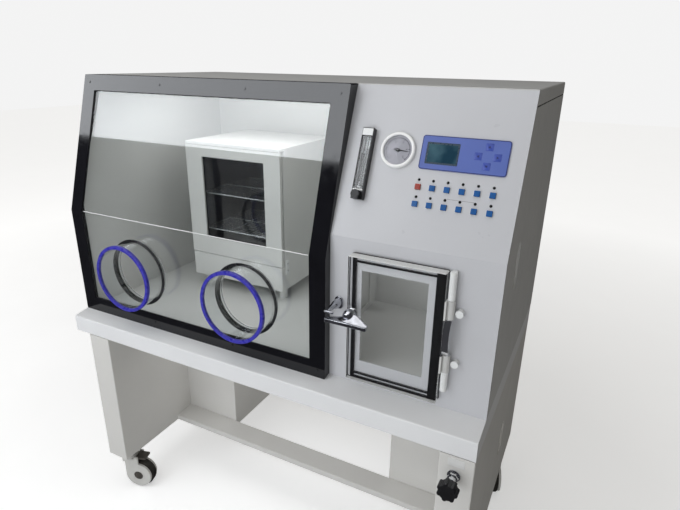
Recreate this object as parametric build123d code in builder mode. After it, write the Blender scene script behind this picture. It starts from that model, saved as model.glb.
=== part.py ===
from build123d import *

import os
from math import atan2, cos, radians, sin, tan

os.makedirs("parts", exist_ok=True)

# ---------------------------------------------------------------------------
# Driving dimensions, in millimetres. Z is 0 on the floor, +X is to the right
# of someone facing the front, and +Y runs from the front to the back.
# ---------------------------------------------------------------------------
width = 1250.0  # case and table, side to side
case_depth = 753.0  # front edge of the table to the back of the case
top = 1360.0
sheet = 2.0  # folded steel sheet
fit = 0.05  # radial clearance of a pin in its hole
gap = 0.3  # clearance between pieces that move past each other

leg_bottom = 147.0  # underside of the pedestals, on top of the casters
table_bottom = 602.0
table_edge = 653.0  # top of the table's front face
deck = 664.0  # flat top of the table, behind its sloping ledge
base_depth = 744.0
leg_inset = 53.0  # table's left end to the left leg
leg_width = 80.0
rear_box_front = 315.0  # the wide rear half of each pedestal starts here
left_box_right = 346.0
right_box_left = 945.0
rail_front, rail_depth, rail_thick = 241.0, 74.0, 20.0

face_y = 72.0  # fascia and front of the case above the table
fascia_bend = 1035.0
fascia_lean = atan2(131.0, 325.0)

window_width = 856.0
window_y = 48.0  # front face of the window frame
window_bend = 982.0
window_lean = atan2(116.0, 378.0)
frame_band = 44.0
frame_corner = 3.0
pane_recess, pane_thick = 4.0, 8.0

port_x = (243.0, 620.0)
port_z = 827.0
port_radius = 92.0  # outside of the clear port tube
port_wall = 4.0
port_front = -4.0
cuff_radius = 97.0

mouth_x = (942.0, 1098.0)  # opening of the transfer chamber
mouth_z = (734.0, 966.0)
box_x = (830.0, 1122.0)
box_y = (74.5, 432.0)
box_z = (716.0, 984.0)
box_wall = 3.0
doorway_y = (120.0, 380.0)

door_x = (915.0, 1140.0)
door_z = (688.0, 1004.0)
door_thick = 25.0
seal_thick = 4.7
hinge_x, hinge_y = 1150.0, 60.0
latch_x, latch_z = 930.0, 868.0

button_size, button_pitch = 12.4, 31.6
button_first = 1040.0  # the left-hand button
button_rows = (132.0, 95.0)  # heights up the leaning panel
button_proud = 4.5
gauge_x, gauge_up = 981.0, 206.0

caster_trail = 33.0
wheel_radius, wheel_width = 50.0, 26.0
cheek_radius, cheek_thick = 45.0, 7.5
cheek_in = wheel_width / 2 + 1.5
cheek_out = cheek_in + cheek_thick
right_rear_heading = -72.0  # direction that each wheel trails, from +X
casters = {
    "left_front": (93.0, 50.0, 17.0),
    "right_front": (1206.0, 52.0, 155.0),
    "left_rear": (98.0, 690.0, 40.0),
    "right_rear": (1214.0, 640.0, right_rear_heading),
}

valve_reach = 60.0  # knob of the gas valve, in front of the table's face
fitting_reach = 18.0  # hose connectors behind the case

# The origin is the middle of the whole object's floor rectangle. The wheel of
# the right rear caster stands out of the right side by caster_reach.
heading = radians(right_rear_heading)
caster_reach = (
    casters["right_rear"][0]
    + caster_trail * cos(heading)
    + cheek_radius * abs(cos(heading))
    + cheek_out * abs(sin(heading))
    - width
)
left = -(width + caster_reach) / 2
right = left + width
front = valve_reach - (valve_reach + case_depth + fitting_reach) / 2
back = front + case_depth
face = front + face_y


# ---------------------------------------------------------------------------
# Helpers
# ---------------------------------------------------------------------------
def block(x, y, z, mode=Mode.ADD):
    """A box between low and high limits along X, Y and Z."""
    with Locations(((x[0] + x[1]) / 2, (y[0] + y[1]) / 2, (z[0] + z[1]) / 2)):
        Box(x[1] - x[0], y[1] - y[0], z[1] - z[0], mode=mode)


def bar(start, direction, radius, length, mode=Mode.ADD):
    """A round bar from a start point along a direction."""
    with BuildSketch(Plane(origin=start, z_dir=direction)) as section:
        Circle(radius)
    extrude(section.sketch, amount=length, mode=mode)


def leaning_line(low_y, bend, lean, offset, bottom, high):
    """Side view of a face that stands upright, then leans back above its bend,
    moved inwards by offset: its (y, z) points from the bottom up."""
    return [
        (low_y + offset, bottom),
        (low_y + offset, bend - offset * tan(lean / 2)),
        (low_y + offset / cos(lean) + (high - bend) * tan(lean), high),
    ]


def fascia_line(offset, bottom=deck, high=top):
    return leaning_line(face, fascia_bend, fascia_lean, offset, bottom, high)


def window_line(offset, bottom, high=top):
    low_y = front + window_y
    return leaning_line(low_y, window_bend, window_lean, offset, bottom, high)


def side_profile(points, x, length, mode=Mode.ADD):
    """A closed (y, z) outline, extruded along +X."""
    with BuildSketch(Plane.YZ.offset(x)) as outline:
        with BuildLine():
            Polyline(points, close=True)
        make_face()
    extrude(outline.sketch, amount=length, mode=mode)


def on_fascia(x, up, out=0.0):
    """A plane on the leaning panel, x from the case's left side and up the
    slope from the bend, with its normal pointing out to the front."""
    normal = Vector(0, -cos(fascia_lean), sin(fascia_lean))
    slope = Vector(0, sin(fascia_lean), cos(fascia_lean))
    foot = Vector(left + x, face, fascia_bend) + slope * up + normal * out
    return Plane(origin=foot, x_dir=(1, 0, 0), z_dir=normal)


# ---------------------------------------------------------------------------
# Stand
# ---------------------------------------------------------------------------
def pedestal_outline(leg, box):
    """Plan of a pedestal: a narrow leg in front, a wide box behind it."""
    outer_leg, inner_leg = leg
    with BuildSketch(Plane.XY.offset(leg_bottom)) as plan:
        with BuildLine():
            Polyline(
                (outer_leg, front),
                (inner_leg, front),
                (inner_leg, front + rear_box_front),
                (box, front + rear_box_front),
                (box, front + base_depth),
                (outer_leg, front + base_depth),
                close=True,
            )
        make_face()
    return plan.sketch


def flush_pull(y, z):
    """A recessed pull in the right side: a shallow cup behind a slot with round ends."""
    cup = Plane.YZ.offset(right - 14)
    for origin, long, high, deep, mode in (
        (cup, 116, 54, 13, Mode.ADD),
        (Plane.YZ.offset(right - 12), 112, 50, 13, Mode.SUBTRACT),
    ):
        with BuildSketch(origin) as section:
            with Locations((y, z)):
                SlotOverall(long, high, rotation=90)
        extrude(section.sketch, amount=deep, mode=mode)


with BuildPart() as left_pedestal:
    leg_left = left + leg_inset
    plan = pedestal_outline((leg_left, leg_left + leg_width), left + left_box_right)
    extrude(plan, amount=table_bottom - leg_bottom)
    inside_corner = (leg_left + leg_width, front + rear_box_front, table_bottom)
    upright = left_pedestal.edges().filter_by(Axis.Z).sort_by_distance(inside_corner)
    fillet(upright[1:], radius=3)
    offset(amount=-sheet, openings=left_pedestal.faces().sort_by(Axis.Z)[-1])
left_pedestal.part.label = "left_pedestal"
export_step(left_pedestal.part, "parts/left_pedestal.step")

with BuildPart() as right_pedestal:
    plan = pedestal_outline((right, right - leg_width), left + right_box_left)
    extrude(plan, amount=table_bottom - leg_bottom)
    inside_corner = (right - leg_width, front + rear_box_front, table_bottom)
    upright = right_pedestal.edges().filter_by(Axis.Z).sort_by_distance(inside_corner)
    fillet(upright[1:], radius=3)
    offset(amount=-sheet, openings=right_pedestal.faces().sort_by(Axis.Z)[-1])
    flush_pull(front + 432, 352)
right_pedestal.part.label = "right_pedestal"
export_step(right_pedestal.part, "parts/right_pedestal.step")

with BuildPart() as cross_rail:
    rail_x = (left + leg_inset + leg_width, right - leg_width)
    rail_y = (front + rail_front, front + rail_front + rail_depth)
    block(rail_x, rail_y, (leg_bottom, leg_bottom + rail_thick))
    fillet(cross_rail.edges().filter_by(Axis.X), radius=2.5)
    block(
        rail_x,
        (rail_y[0] + sheet, rail_y[1] - sheet),
        (leg_bottom + sheet, leg_bottom + rail_thick - sheet),
        Mode.SUBTRACT,
    )
cross_rail.part.label = "cross_rail"
export_step(cross_rail.part, "parts/cross_rail.step")

with BuildPart() as table:
    table_back = front + base_depth
    side_profile(
        [
            (front, table_bottom),
            (front, table_edge),
            (face, deck),
            (table_back, deck),
            (table_back, table_bottom),
        ],
        left,
        width,
    )
    front_edges = table.edges().filter_by(Axis.X).sort_by(Axis.Y)[:2]
    fillet(front_edges, radius=4)
    side_profile(  # the sheet-metal table is hollow
        [
            (front + sheet, table_bottom + sheet),
            (front + sheet, table_edge - sheet),
            (face, deck - sheet),
            (table_back - sheet, deck - sheet),
            (table_back - sheet, table_bottom + sheet),
        ],
        left + sheet,
        width - 2 * sheet,
        Mode.SUBTRACT,
    )
table.part.label = "table"
export_step(table.part, "parts/table.step")


# ---------------------------------------------------------------------------
# Case
# ---------------------------------------------------------------------------
flange_bottom = 1328.5  # the roof's right-hand flange ends here
cover_gap = 3.0  # open seam above the side cover

with BuildPart() as case_shell:
    side_profile(
        [*fascia_line(0), (back, top), (back, deck)],
        left,
        width,
    )
    fillet(case_shell.edges().filter_by(Axis.X).sort_by(Axis.Z)[-1], radius=4)
    fillet(case_shell.edges().filter_by(Axis.Z).sort_by(Axis.Y)[-1], radius=4)
    block(
        (left + sheet, right - sheet),
        (front, back - sheet),
        (deck - 1, top - sheet),
        Mode.SUBTRACT,
    )
    block(  # the right side below the roof's flange is the side cover
        (right - sheet - 1, right + 1),
        (front, back - sheet),
        (deck - 1, flange_bottom),
        Mode.SUBTRACT,
    )
    side_profile(  # the fascia wraps round the front right-hand edge
        [*fascia_line(-1), *reversed(fascia_line(2.5))],
        left + window_width,
        width,
        Mode.SUBTRACT,
    )
case_shell.part.label = "case_shell"
export_step(case_shell.part, "parts/case_shell.step")

with BuildPart() as right_cover:
    side_profile(
        [
            *fascia_line(2.5, high=flange_bottom - cover_gap),
            (back - sheet, flange_bottom - cover_gap),
            (back - sheet, deck),
        ],
        right - sheet,
        sheet,
    )
    flush_pull(front + 226, 980)
right_cover.part.label = "right_cover"
export_step(right_cover.part, "parts/right_cover.step")

with BuildPart() as fascia:
    side_profile(
        [*fascia_line(0, high=top - sheet), *reversed(fascia_line(2.5, high=top - sheet))],
        left + window_width,
        width - window_width,
    )
    mouth = (left + mouth_x[0], left + mouth_x[1])
    block(mouth, (face - 5, face + 5), mouth_z, Mode.SUBTRACT)
    for up in button_rows:
        for column in range(6):
            with BuildSketch(on_fascia(button_first + column * button_pitch, up, 1)):
                Rectangle(button_size + 2 * gap, button_size + 2 * gap)
            extrude(amount=-6, mode=Mode.SUBTRACT)
    with BuildSketch(on_fascia(gauge_x, gauge_up, 1)):
        Circle(31.5)
    extrude(amount=-6, mode=Mode.SUBTRACT)
fascia.part.label = "fascia"
export_step(fascia.part, "parts/fascia.step")

liner_gap = 25.0  # foam between the case and the liner
liner_sheet = 1.5
liner_right = left + 830.0
liner_floor = deck + 2.0
liner_top = top - liner_gap

with BuildPart() as chamber_liner:
    side_profile(
        [
            *fascia_line(0.5, liner_floor, liner_top),
            (back - liner_gap, liner_top),
            (back - liner_gap, liner_floor),
        ],
        left + liner_gap,
        liner_right - left - liner_gap,
    )
    block(
        (left + liner_gap + liner_sheet, liner_right - liner_sheet),
        (front, back - liner_gap - liner_sheet),
        (liner_floor + liner_sheet, liner_top - liner_sheet),
        Mode.SUBTRACT,
    )
    doorway = (front + doorway_y[0], front + doorway_y[1])
    block((liner_right - 5, liner_right + 5), doorway, mouth_z, Mode.SUBTRACT)
    for z in (708.0, 984.0):  # hinge ears of the inner door
        block((liner_right - 16, liner_right - liner_sheet), (front + 98, front + 112), (z, z + 8))
    for z, direction in ((716.0, 1), (984.0, -1)):
        bar((liner_right - 9, front + 105, z), (0, 0, direction), 3, 12)
chamber_liner.part.label = "chamber_liner"
export_step(chamber_liner.part, "parts/chamber_liner.step")

with BuildPart() as partition_wall:
    side_profile(
        [
            *fascia_line(3, deck + 0.5, top - sheet),
            (back - sheet, top - sheet),
            (back - sheet, deck + 0.5),
        ],
        left + 846,
        sheet,
    )
    block(
        (left + 840, left + 850),
        (front + box_y[0] - 3, front + box_y[1]),
        box_z,
        Mode.SUBTRACT,
    )
partition_wall.part.label = "partition_wall"
export_step(partition_wall.part, "parts/partition_wall.step")


# ---------------------------------------------------------------------------
# Window
# ---------------------------------------------------------------------------
ledge_slope = (deck - table_edge) / face_y
frame_bottom = table_edge + ledge_slope * window_y
inner_bottom = frame_bottom + frame_band
inner_top = top - frame_band * cos(window_lean)
pane_lap = 12.0  # the pane's edge behind the frame's lip
pane_back = pane_recess + pane_thick


with BuildPart() as window_frame:
    side_profile(
        [*window_line(0, frame_bottom), *reversed(fascia_line(0))],
        left,
        window_width,
    )
    corners = [
        edge
        for edge in window_frame.edges()
        if abs(edge.tangent_at(0.5).X) < 0.01 and abs(edge.tangent_at(0.5).Z) < 0.5
    ]
    fillet(corners, radius=frame_corner)
    with BuildSketch(Plane.XZ.offset(-back)):
        with Locations((left + window_width / 2, (inner_bottom + inner_top) / 2)):
            RectangleRounded(window_width - 2 * frame_band, inner_top - inner_bottom, radius=2.5)
    extrude(amount=case_depth + 100, mode=Mode.SUBTRACT)
    side_profile(  # rebate that the pane is pushed into from behind
        [
            *window_line(pane_recess, frame_bottom + frame_band - pane_lap, inner_top + pane_lap),
            (front + 300, inner_top + pane_lap),
            (front + 300, frame_bottom + frame_band - pane_lap),
        ],
        left + frame_band - pane_lap,
        window_width - 2 * (frame_band - pane_lap),
        Mode.SUBTRACT,
    )
window_frame.part.label = "window_frame"
export_step(window_frame.part, "parts/window_frame.step")

with BuildPart() as window_pane:
    side_profile(
        [
            *window_line(pane_recess, inner_bottom - pane_lap, inner_top + pane_lap),
            *reversed(window_line(pane_back, inner_bottom - pane_lap, inner_top + pane_lap)),
        ],
        left + frame_band - pane_lap,
        window_width - 2 * (frame_band - pane_lap),
    )
    for x in port_x:
        bar((left + x, front, port_z), (0, 1, 0), port_radius + 0.5, 100, Mode.SUBTRACT)
window_pane.part.label = "window_pane"
export_step(window_pane.part, "parts/window_pane.step")

pane_front_y = window_y + pane_recess
pane_back_y = window_y + pane_back

with BuildPart() as port_tubes:
    for x in port_x:
        start = (left + x, front + port_front, port_z)
        bar(start, (0, 1, 0), port_radius, pane_back_y + 8 - port_front)
        bar(start, (0, 1, 0), port_radius - port_wall, 100, Mode.SUBTRACT)
port_tubes.part.label = "port_tubes"
export_step(port_tubes.part, "parts/port_tubes.step")

with BuildPart() as port_flanges:
    for x in port_x:
        with BuildSketch(Plane.XZ.offset(-(front + pane_front_y))):
            with Locations((left + x, port_z)):
                Circle(99)
                Circle(port_radius + 0.1, mode=Mode.SUBTRACT)
        extrude(amount=4)
    rims = port_flanges.edges().filter_by(GeomType.CIRCLE).filter_by(lambda e: e.radius > 98)
    fillet(rims, radius=1.2)
port_flanges.part.label = "port_flanges"
export_step(port_flanges.part, "parts/port_flanges.step")

with BuildPart() as port_rings:
    for x in port_x:
        start = (left + x, front + port_front - 6, port_z)
        bar(start, (0, 1, 0), cuff_radius, 10)
    outer_rims = port_rings.edges().filter_by(GeomType.CIRCLE)
    fillet(outer_rims, radius=1.5)
    for x in port_x:
        lip_start = (left + x, front + port_front - 6, port_z)
        bar(lip_start, (0, 1, 0), port_radius - port_wall, 20, Mode.SUBTRACT)
        tube_start = (left + x, front + port_front, port_z)
        bar(tube_start, (0, 1, 0), port_radius + 0.1, 20, Mode.SUBTRACT)
port_rings.part.label = "port_rings"
export_step(port_rings.part, "parts/port_rings.step")


def window_point(x, z):
    """A plane on the front face of the window frame, its normal to the front."""
    if z <= window_bend:
        return Plane(origin=(left + x, front + window_y, z), x_dir=(1, 0, 0), z_dir=(0, -1, 0))
    rise = z - window_bend
    return Plane(
        origin=(left + x, front + window_y + rise * tan(window_lean), z),
        x_dir=(1, 0, 0),
        z_dir=(0, -cos(window_lean), sin(window_lean)),
    )


with BuildPart() as frame_screws:
    half_band = frame_band / 2
    side_z = (frame_bottom + 20, 820.0, window_bend - 18, 1170.0, top - 20)
    screw_places = [(x, z) for x in (half_band, window_width - half_band) for z in side_z]
    screw_places += [(x, z) for x in (290.0, 570.0) for z in (side_z[0], side_z[-1])]
    for x, z in screw_places:
        with BuildSketch(window_point(x, z)):
            Circle(3)
        extrude(amount=1.4)
frame_screws.part.label = "frame_screws"
export_step(frame_screws.part, "parts/frame_screws.step")


# ---------------------------------------------------------------------------
# Transfer chamber
# ---------------------------------------------------------------------------
with BuildPart() as transfer_box:
    outer_x = (left + box_x[0], left + box_x[1])
    outer_y = (front + box_y[0], front + box_y[1])
    block(outer_x, outer_y, box_z)
    fillet(transfer_box.edges().filter_by(Axis.Y), radius=6)
    block(
        (outer_x[0] + box_wall, outer_x[1] - box_wall),
        (outer_y[0] + box_wall, outer_y[1] - box_wall),
        (box_z[0] + box_wall, box_z[1] - box_wall),
        Mode.SUBTRACT,
    )
    block(mouth, (outer_y[0] - 1, outer_y[0] + 10), mouth_z, Mode.SUBTRACT)
    block((outer_x[0] - 1, outer_x[0] + 10), doorway, mouth_z, Mode.SUBTRACT)
transfer_box.part.label = "transfer_box"
export_step(transfer_box.part, "parts/transfer_box.step")

door_back = face - gap - seal_thick
door_front = door_back - door_thick

with BuildPart() as outer_door:
    block((left + door_x[0], left + door_x[1]), (door_front, door_back), door_z)
    fillet(outer_door.edges().filter_by(Axis.Y), radius=4)
    chamfer(outer_door.faces().sort_by(Axis.Y)[0].edges(), length=1.5)
outer_door.part.label = "outer_door"
export_step(outer_door.part, "parts/outer_door.step")

with BuildPart() as door_gasket:
    with BuildSketch(Plane.XZ.offset(-(face - gap))):
        for low, high, mode in (
            ((921, 689), (1136.5, 1003), Mode.ADD),
            ((930, 703), (1115.5, 986), Mode.SUBTRACT),
            ((930, 990), (1115.5, 1000), Mode.SUBTRACT),
            ((930, 692), (1115.5, 699), Mode.SUBTRACT),
        ):
            with Locations((left + (low[0] + high[0]) / 2, (low[1] + high[1]) / 2)):
                Rectangle(high[0] - low[0], high[1] - low[1], mode=mode)
    extrude(amount=seal_thick)
door_gasket.part.label = "door_gasket"
export_step(door_gasket.part, "parts/door_gasket.step")

pin_radius = 4.0
post_radius = 8.0
hinge = (left + hinge_x, front + hinge_y)
lower_knuckle, upper_knuckle = (768.0, 811.0), (897.0, 940.0)
lower_post, upper_post = (718.0, 767.0), (941.0, 1004.0)

with BuildPart() as door_hinge_posts:
    for low, high in (lower_post, upper_post):
        bar((*hinge, low), (0, 0, 1), post_radius, high - low)
        block((hinge[0] - 5, hinge[0] + 5), (hinge[1] + 3, face), (low, high))
    round_ends = door_hinge_posts.edges().filter_by(GeomType.CIRCLE)
    far_ends = round_ends.sort_by(Axis.Z)[:1] + round_ends.sort_by(Axis.Z)[-1:]
    fillet(far_ends, radius=1.5)
    bar((*hinge, lower_post[1] - 12), (0, 0, 1), pin_radius + fit, 20, Mode.SUBTRACT)
    bar((*hinge, upper_post[0] - 8), (0, 0, 1), pin_radius + fit, 20, Mode.SUBTRACT)
    for z in (790.0, 912.0):  # round heads of the clamping bolts beside the leaf
        bar((left + 1169.5, face - 14, z), (0, 1, 0), 8.5, 14)
door_hinge_posts.part.label = "door_hinge_posts"
export_step(door_hinge_posts.part, "parts/door_hinge_posts.step")

with BuildPart() as door_hinge_leaf:
    for low, high in (lower_knuckle, upper_knuckle):
        bar((*hinge, low), (0, 0, 1), 9.5, high - low)
        block(  # glued along the door's edge
            (left + door_x[1], left + door_x[1] + 4), (door_front + 2, hinge[1] + 3), (low, high)
        )
    bar((*hinge, lower_post[1] - 10), (0, 0, 1), pin_radius, upper_post[0] - lower_post[1] + 20)
    strap_low, strap_high = lower_knuckle[1], upper_knuckle[0]
    strap_middle = (strap_low + strap_high) / 2
    with BuildSketch(Plane.YZ.offset(hinge[0] - 7)):
        with BuildLine():
            inner_y, bow = hinge[1] - 6, 13
            ThreePointArc((inner_y, strap_low), (inner_y - bow, strap_middle), (inner_y, strap_high))
            Line((inner_y, strap_high), (inner_y - 4, strap_high))
            ThreePointArc(
                (inner_y - 4, strap_high),
                (inner_y - bow - 4, strap_middle),
                (inner_y - 4, strap_low),
            )
            Line((inner_y - 4, strap_low), (inner_y, strap_low))
        make_face()
    extrude(amount=14)
door_hinge_leaf.part.label = "door_hinge_leaf"
export_step(door_hinge_leaf.part, "parts/door_hinge_leaf.step")

boss_front = door_front - 18
latch_axis = (left + latch_x, latch_z)
latch_pin_radius = 5.0

with BuildPart() as latch_base:
    with BuildSketch(Plane.XZ.offset(-door_front)):
        with Locations((latch_axis[0] + 4, latch_z)):
            RectangleRounded(34, 74, radius=10)
    extrude(amount=5)
    fillet(latch_base.faces().sort_by(Axis.Y)[0].edges(), radius=1.5)
    bar((latch_axis[0], door_front - 4, latch_z), (0, -1, 0), 15, 8)
    bar((latch_axis[0], door_front - 4, latch_z), (0, -1, 0), latch_pin_radius, 34)
latch_base.part.label = "latch_base"
export_step(latch_base.part, "parts/latch_base.step")

with BuildPart() as latch_lever:
    lever_back = door_front - 12 - gap
    bar((latch_axis[0], lever_back, latch_z), (0, -1, 0), 16, 22)
    with BuildSketch(Plane.XZ.offset(-lever_back)):  # tapered web above the paddle
        with BuildLine():
            Polyline(
                (latch_axis[0] - 46, latch_z - 12),
                (latch_axis[0] - 14, latch_z + 8),
                (latch_axis[0] + 16, latch_z + 6),
                (latch_axis[0] + 40, latch_z - 12),
                close=True,
            )
        make_face()
    extrude(amount=13)
    with BuildSketch(Plane.XY.offset(latch_z - 20)):  # paddle that the hand pushes down
        with BuildLine():
            paddle_left, paddle_right = latch_axis[0] - 59, latch_axis[0] + 49
            Polyline(
                (paddle_left, lever_back),
                (paddle_left, lever_back - 20),
                (paddle_left + 18, lever_back - 34),
                (paddle_right - 20, lever_back - 38),
                (paddle_right, lever_back - 16),
                (paddle_right - 4, lever_back),
                close=True,
            )
        make_face()
    extrude(amount=8)
    fillet(latch_lever.edges().filter_by(Axis.Z), radius=3)
    bar((latch_axis[0], lever_back + 1, latch_z), (0, -1, 0), latch_pin_radius + fit, 40, Mode.SUBTRACT)
latch_lever.part.label = "latch_lever"
export_step(latch_lever.part, "parts/latch_lever.step")

with BuildPart() as latch_keeper:
    keeper_x, keeper_z = left + 881, 877.0
    block((keeper_x - 12, keeper_x + 12), (face - 4, face), (keeper_z - 22, keeper_z + 16))
    bar((keeper_x, face - 4, keeper_z), (0, -1, 0), 9, 32)
    bar((keeper_x, face - 30, keeper_z + 2), (0, -30, -8), 4, 31)
    bar((keeper_x - 8, face - 60, keeper_z - 6), (1, 0, 0), 3.6, 24)
latch_keeper.part.label = "latch_keeper"
export_step(latch_keeper.part, "parts/latch_keeper.step")

with BuildPart() as inner_door:
    pivot = (liner_right - 9, front + 105)
    plate_x = (liner_right - 14, liner_right - liner_sheet - gap)
    block(plate_x, (front + 106, front + 394), (722, 978))
    fillet(inner_door.edges().filter_by(Axis.X), radius=5)
    bar((*pivot, 722), (0, 0, 1), 6.5, 256)
    bar((*pivot, 721), (0, 0, 1), 3 + fit, 258, Mode.SUBTRACT)
inner_door.part.label = "inner_door"
export_step(inner_door.part, "parts/inner_door.step")


# ---------------------------------------------------------------------------
# Incubator inside the working chamber
# ---------------------------------------------------------------------------
oven_x = (left + 178, left + 536)
oven_y = (front + 378, front + 690)
oven_z = (707.0, 1160.0)
oven_door_z = (790.0, 1150.0)
oven_glass_x = (left + 242, left + 478)
oven_glass_z = (847.0, 1115.0)
oven_hinge = (oven_x[1] - 7, oven_y[0] - 10)
oven_seal = 4.0  # space for the door's seal
foot_radius = 13.0

with BuildPart() as incubator_body:
    block(oven_x, oven_y, oven_z)
    block(oven_x, (oven_y[0] - 19, oven_y[0]), (oven_z[0], oven_door_z[0] - 2))
    block(oven_x, (oven_y[0] - 19, oven_y[0]), (oven_door_z[1] + 2, oven_z[1]))
    upright = incubator_body.edges().filter_by(Axis.Z)
    fillet(upright, radius=3)
    block(  # foam space between the outer and inner walls
        (oven_x[0] + sheet, oven_x[1] - sheet),
        (oven_y[0] + sheet, oven_y[1] - sheet),
        (oven_z[0] + sheet, oven_z[1] - sheet),
        Mode.SUBTRACT,
    )
    cavity_x = (oven_x[0] + 28, oven_x[1] - 28)
    cavity_z = (oven_door_z[0] + 24, oven_z[1] - 34)
    block(  # inner wall
        (cavity_x[0] - sheet, cavity_x[1] + sheet),
        (oven_y[0] + 1, oven_y[1] - 30 + sheet),
        (cavity_z[0] - sheet, cavity_z[1] + sheet),
    )
    block(cavity_x, (oven_y[0] - 1, oven_y[1] - 30), cavity_z, Mode.SUBTRACT)
    for x in (oven_x[0] + 25, oven_x[1] - 25):
        for y in (oven_y[0] + 25, oven_y[1] - 25):
            bar((x, y, liner_floor + liner_sheet), (0, 0, 1), foot_radius, oven_z[0] - liner_floor)
    bar((*oven_hinge, oven_door_z[0] - 3), (0, 0, 1), 2.5, 13)
    bar((*oven_hinge, oven_door_z[1] - 10), (0, 0, 1), 2.5, 13)
incubator_body.part.label = "incubator_body"
export_step(incubator_body.part, "parts/incubator_body.step")

with BuildPart() as incubator_door:
    block(oven_x, (oven_y[0] - 19, oven_y[0] - oven_seal), oven_door_z)
    upright = incubator_door.edges().filter_by(Axis.Z)
    hinge_edge = upright.sort_by_distance((oven_x[1], oven_y[0] - oven_seal, oven_door_z[0]))[0]
    fillet(hinge_edge, radius=5.8)  # clears the body as it turns
    block(oven_glass_x, (oven_y[0] - 30, oven_y[0] + 5), oven_glass_z, Mode.SUBTRACT)
    block(  # rebate for the glass
        (oven_glass_x[0] - 8, oven_glass_x[1] + 8),
        (oven_y[0] - 12, oven_y[0] + 5),
        (oven_glass_z[0] - 8, oven_glass_z[1] + 8),
        Mode.SUBTRACT,
    )
    bar((*oven_hinge, oven_door_z[0] - 1), (0, 0, 1), 2.5 + fit, 12, Mode.SUBTRACT)
    bar((*oven_hinge, oven_door_z[1] - 11), (0, 0, 1), 2.5 + fit, 12, Mode.SUBTRACT)
    block(  # finger notch behind the free edge
        (oven_x[0] - 1, oven_x[0] + 14),
        (oven_y[0] - oven_seal - 8, oven_y[0]),
        (925, 1015),
        Mode.SUBTRACT,
    )
incubator_door.part.label = "incubator_door"
export_step(incubator_door.part, "parts/incubator_door.step")

with BuildPart() as incubator_glass:
    block(
        (oven_glass_x[0] - 7.5, oven_glass_x[1] + 7.5),
        (oven_y[0] - 12, oven_y[0] - 7),
        (oven_glass_z[0] - 7.5, oven_glass_z[1] + 7.5),
    )
incubator_glass.part.label = "incubator_glass"
export_step(incubator_glass.part, "parts/incubator_glass.step")

with BuildPart() as incubator_shelves:
    shelf_x = (oven_x[0] + 30, oven_x[1] - 30)
    shelf_y = (oven_y[0] + 14, oven_y[1] - 36)
    for z in (868.0, 990.0):
        for y in (*shelf_y, (shelf_y[0] + shelf_y[1]) / 2):
            bar((shelf_x[0], y, z), (1, 0, 0), 2.5, shelf_x[1] - shelf_x[0])
        wire_count = 19
        step = (shelf_x[1] - shelf_x[0] - 12) / (wire_count - 1)
        for wire in range(wire_count):
            bar((shelf_x[0] + 6 + wire * step, shelf_y[0], z), (0, 1, 0), 1.6, shelf_y[1] - shelf_y[0])
incubator_shelves.part.label = "incubator_shelves"
export_step(incubator_shelves.part, "parts/incubator_shelves.step")


# ---------------------------------------------------------------------------
# Control panel
# ---------------------------------------------------------------------------
for row, up in enumerate(button_rows):
    for column in range(6):
        name = f"button_{row * 6 + column + 1:02d}"
        with BuildPart() as button:
            with BuildSketch(on_fascia(button_first + column * button_pitch, up, -9)):
                RectangleRounded(button_size, button_size, radius=1.2)
            extrude(amount=9 + button_proud)
            cap = button.faces().sort_by(Axis((0, 0, 0), (0, -cos(fascia_lean), sin(fascia_lean))))[-1]
            fillet(cap.edges(), radius=1)
        button.part.label = name
        export_step(button.part, f"parts/{name}.step")

with BuildPart() as display_panel:
    with BuildSketch(on_fascia(1125, 207.5, 0)):
        RectangleRounded(184, 73, radius=6)
    extrude(amount=2.5)
    with BuildSketch(on_fascia(1080, 206.5, 1.7)):
        RectangleRounded(71, 47, radius=2)
    extrude(amount=2, mode=Mode.SUBTRACT)
display_panel.part.label = "display_panel"
export_step(display_panel.part, "parts/display_panel.step")

with BuildPart() as gauge_case:
    with BuildSketch(on_fascia(gauge_x, gauge_up, 0)):
        Circle(39.5)
    extrude(amount=7)
    bezel = gauge_case.faces().sort_by(Axis((0, 0, 0), (0, -cos(fascia_lean), sin(fascia_lean))))[-1]
    fillet(bezel.edges(), radius=3)
    with BuildSketch(on_fascia(gauge_x, gauge_up, -38)):
        Circle(31)
    extrude(amount=40)
    with BuildSketch(on_fascia(gauge_x, gauge_up, 1.5)):
        Circle(33)
    extrude(amount=20, mode=Mode.SUBTRACT)
    with BuildSketch(on_fascia(gauge_x, gauge_up, 1.5)):
        Circle(1)
    extrude(amount=3.5)
gauge_case.part.label = "gauge_case"
export_step(gauge_case.part, "parts/gauge_case.step")

needle_angle = -14.0  # direction of the tip, from the panel's right

with BuildPart() as gauge_needle:
    with BuildSketch(on_fascia(gauge_x, gauge_up, 2.4)):
        Circle(4)
    extrude(amount=2.2)
    with BuildSketch(on_fascia(gauge_x, gauge_up, 3)):
        with BuildLine():
            across = radians(needle_angle + 90)
            tip = (27 * cos(radians(needle_angle)), 27 * sin(radians(needle_angle)))
            tail = (-10 * cos(radians(needle_angle)), -10 * sin(radians(needle_angle)))
            half = (1.4 * cos(across), 1.4 * sin(across))
            Polyline(
                tip,
                (tail[0] + half[0], tail[1] + half[1]),
                (tail[0] - half[0], tail[1] - half[1]),
                close=True,
            )
        make_face()
    extrude(amount=0.8)
    with BuildSketch(on_fascia(gauge_x, gauge_up, 2)):
        Circle(1 + fit)
    extrude(amount=5, mode=Mode.SUBTRACT)
gauge_needle.part.label = "gauge_needle"
export_step(gauge_needle.part, "parts/gauge_needle.step")

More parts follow.
